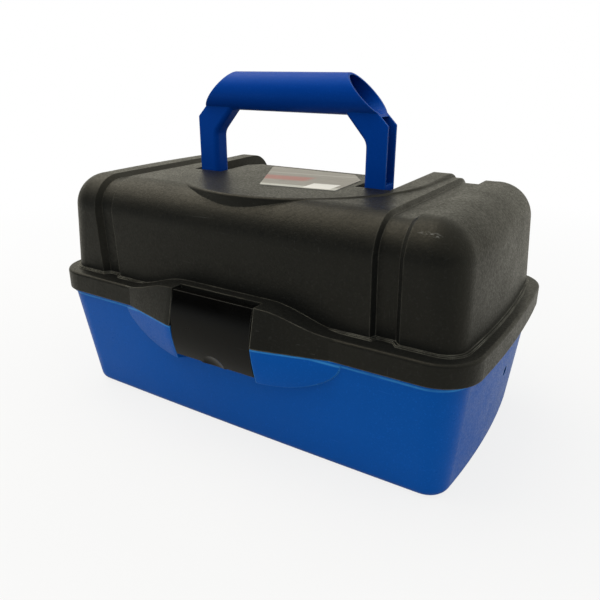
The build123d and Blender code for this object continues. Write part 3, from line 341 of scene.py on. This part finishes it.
steel = moulded(
    "steel", colour=(0.56, 0.56, 0.57), roughness=0.30, grain=0.5, grain_depth=0.01, patchy=0.1, rub_and_highlight=0.3,
    rub_and_highlight_colour=(0.75, 0.75, 0.75), Metallic=1.0)
# Link pin heads coloured dark navy as painted shade of the dimples they sit in
pin_steel_painted_shade = moulded(
    "pin_steel_painted_shade", colour=(0.004, 0.008, 0.03), roughness=0.45, grain=0.5, grain_depth=0.01, patchy=0.1,
    rub_and_highlight=0.1, Specular_IOR_Level=0.06)

dress(base_blue, "base_shell")
dress(lid_charcoal, "lid_shell")
dress(handle_blue, "handle")
dress(latch_black, "latch")
dress(tray_grey, "lower_tray", "upper_tray")
dress(divider_grey, "lower_tray_dividers", "upper_tray_dividers")
dress(link_grey, "front_link_right", "front_link_left", "rear_link_right", "rear_link_left")
# pin heads dark with painted shade
dress(pin_steel_painted_shade, "base_link_pins")
dress(steel, "hinge_pins", "lid_tray_pins", "handle_pins", "latch_pin",
      "lower_tray_rivets", "upper_tray_rivets")


# Sticker: a plain printed film. A band has its two sides, and how soft they are, in millimetres.
# It lies across the sticker, level with its front edge, or along X

FRONT_EDGE_SLOPE = 9.0 / 57.0
BAND_SOFT = 0.15
FOIL_DARK, FOIL_PALE = (0.17, 0.16, 0.145), (0.25, 0.235, 0.215)
RED, RED_ACROSS, RED_ALONG = (0.30, 0.10, 0.09), (-22, -7, 2.5), (-34, 20, 3)
STRIP_GREY, STRIP_ACROSS = (0.36, 0.36, 0.33), (-45.5, -38)
BLOCK_PALE, BLOCK_ACROSS, BLOCK_ALONG = (0.62, 0.61, 0.58), (-43, -27), (30, 50)
LINE_PALE, LINE_ACROSS, LINE_STRENGTH = (0.42, 0.41, 0.39), (3, 6, 0.5), 0.4
FILM_WAVE, FILM_EDGE = 0.05, 0.15


def sticker():
    s = Surface("label", roughness=0.40, Specular_IOR_Level=0.15)
    along = s.axis("X", s.place)
    across = s.math("SUBTRACT", s.axis("Y", s.place), s.math("MULTIPLY", along, FRONT_EDGE_SLOPE))

    def band(value, low, high, soft=BAND_SOFT):
        up = s.ramp(value, (low - soft) * MM, (low + soft) * MM)
        down = s.ramp(value, (high - soft) * MM, (high + soft) * MM, 1.0, 0.0)
        return s.math("MULTIPLY", up, down)

    base = s.mixed(s.clouds(FOIL_LINES), FOIL_DARK, FOIL_PALE)
    ink = s.math("MULTIPLY", band(across, *RED_ACROSS), s.clouds(INK))
    base = s.mixed(s.math("MULTIPLY", ink, band(along, *RED_ALONG)), base, RED)
    base = s.mixed(band(across, *STRIP_ACROSS), base, STRIP_GREY)
    block = s.math("MULTIPLY", band(along, *BLOCK_ALONG), band(across, *BLOCK_ACROSS))
    base = s.mixed(block, base, BLOCK_PALE)
    base = s.mixed(s.math("MULTIPLY", band(across, *LINE_ACROSS), LINE_STRENGTH), base, LINE_PALE)
    s.wire("Base Color", base)
    s.wire("Normal", s.bump(s.noise(*FILM_WAVES), FILM_WAVE, s.rounded(FILM_EDGE)))
    return s


dress(sticker(), "label")


# Floor, in metres: it takes the object's shadow, and fades to white away from it

WHITE = (1.0, 1.0, 1.0)
FLOOR_REACH = 6.0
FLOOR_DARK, FLOOR_PALE = (0.46, 0.46, 0.46), (0.50, 0.50, 0.495)
FADE_FROM, FADE_TO = 0.2, 0.9
WHITE_UNDER_SEEN, WHITE_UNDER_MIRRORED = 0.82, 0.5
SWEEP_FRONT, SWEEP_BACK, SWEEP_LEAST = -0.95, -0.35, 0.1
MIRRORED_FRONT, MIRRORED_BACK = (0.80, 0.95, 1.0), (1.0, 0.965, 0.83)


def stage_plane():
    mesh = bpy.data.meshes.new("floor")
    mesh.from_pydata([(-FLOOR_REACH, -FLOOR_REACH, 0), (FLOOR_REACH, -FLOOR_REACH, 0),
                      (FLOOR_REACH, FLOOR_REACH, 0), (-FLOOR_REACH, FLOOR_REACH, 0)], [], [(0, 1, 2, 3)])
    floor = bpy.data.objects.new("floor", mesh)
    bpy.context.scene.collection.objects.link(floor)
    s = Surface("floor", roughness=0.7, Specular_IOR_Level=0.1)
    s.wire("Base Color", s.mixed(s.clouds(FLOOR_TONES), FLOOR_DARK, FLOOR_PALE))
    seen = s.add("ShaderNodeLightPath").outputs["Is Camera Ray"]
    # reflections of the floor are dimmer and cooler towards its front
    sweep = s.ramp(s.axis("Y", s.place), SWEEP_FRONT, SWEEP_BACK, SWEEP_LEAST, 1.0)
    under = s.math("MAXIMUM", s.math("MULTIPLY", seen, WHITE_UNDER_SEEN), WHITE_UNDER_MIRRORED)
    white = s.ramp(s.vector("LENGTH", s.place), FADE_FROM, FADE_TO, under, 1.0)
    white = s.math("MULTIPLY", white, s.math("MAXIMUM", seen, sweep))
    white = s.math("MULTIPLY", white, s.seen_as_background())
    tone = s.mixed(seen, s.mixed(sweep, MIRRORED_FRONT, MIRRORED_BACK), WHITE)
    glow = s.add("ShaderNodeEmission", {"Color": tone}).outputs[0]
    blend = s.add("ShaderNodeMixShader", {0: white, 1: s.shader.outputs[0], 2: glow}).outputs[0]
    output = next(n for n in s.tree.nodes if n.type == "OUTPUT_MATERIAL")
    s.tree.links.new(blend, output.inputs["Surface"])
    mesh.materials.append(s.material)


stage_plane()


# Light, in metres and watts: one warm soft lamp above and to the left

LAMP_AT = (-0.60, -0.10, 1.35)
LAMP_AIM = (0.0, 0.0, 0.10)
LAMP_SIDE = 1.4
LAMP_WATTS = 18.0
LAMP_COLOUR = (1.0, 0.92, 0.77)


def overhead_lamp():
    data = bpy.data.lights.new("overhead", "AREA")
    data.shape = "SQUARE"
    data.size = LAMP_SIDE
    data.energy = LAMP_WATTS
    data.color = LAMP_COLOUR
    lamp = bpy.data.objects.new("overhead", data)
    aim = (Vector(LAMP_AIM) - Vector(LAMP_AT)).to_track_quat("-Z", "Y")
    lamp.matrix_world = Matrix.Translation(LAMP_AT) @ aim.to_matrix().to_4x4()
    bpy.context.scene.collection.objects.link(lamp)


overhead_lamp()


# Surroundings. A glow grows from its low to its high strength along its axis

Glow = namedtuple("Glow", "low high axis colour")
DAYLIGHT = Glow(0.52, 1.00, (0.0, 0.30, 0.95), (0.97, 1.0, 1.0))
SHEEN = Glow(0.0, 1.05, (0.0, 0.60, 0.80), (1.0, 0.965, 0.81))
GLOW_FROM, GLOW_TO = -0.35, 0.45


def studio_world():
    """White for the camera and through clear surfaces, sheen in reflections, daylight for other rays."""
    world = bpy.data.worlds.new("studio")
    world.use_nodes = True
    t = Tree(world.node_tree)
    t.tree.nodes.remove(next(n for n in t.tree.nodes if n.type == "BACKGROUND"))
    way = t.add("ShaderNodeTexCoord").outputs["Generated"]
    path = t.add("ShaderNodeLightPath").outputs

    def background(colour, strength=1.0):
        return t.add("ShaderNodeBackground", {"Color": (*colour, 1.0), "Strength": strength}).outputs[0]

    def graded(glow):
        along = t.vector("DOT_PRODUCT", way, glow.axis)
        return background(glow.colour, t.ramp(along, GLOW_FROM, GLOW_TO, glow.low, glow.high,
                                              interpolation_type="SMOOTHSTEP"))

    def mix(rays, others, own):
        return t.add("ShaderNodeMixShader", {0: rays, 1: others, 2: own}).outputs[0]

    seen = t.math("MAXIMUM", path["Is Camera Ray"], path["Is Transmission Ray"])
    shader = mix(path["Is Glossy Ray"], graded(DAYLIGHT), graded(SHEEN))
    shader = mix(seen, shader, background(WHITE))
    output = next(n for n in t.tree.nodes if n.type == "OUTPUT_WORLD")
    t.tree.links.new(shader, output.inputs["Surface"])
    bpy.context.scene.world = world


studio_world()
bpy.context.scene.view_settings.view_transform = "Standard"
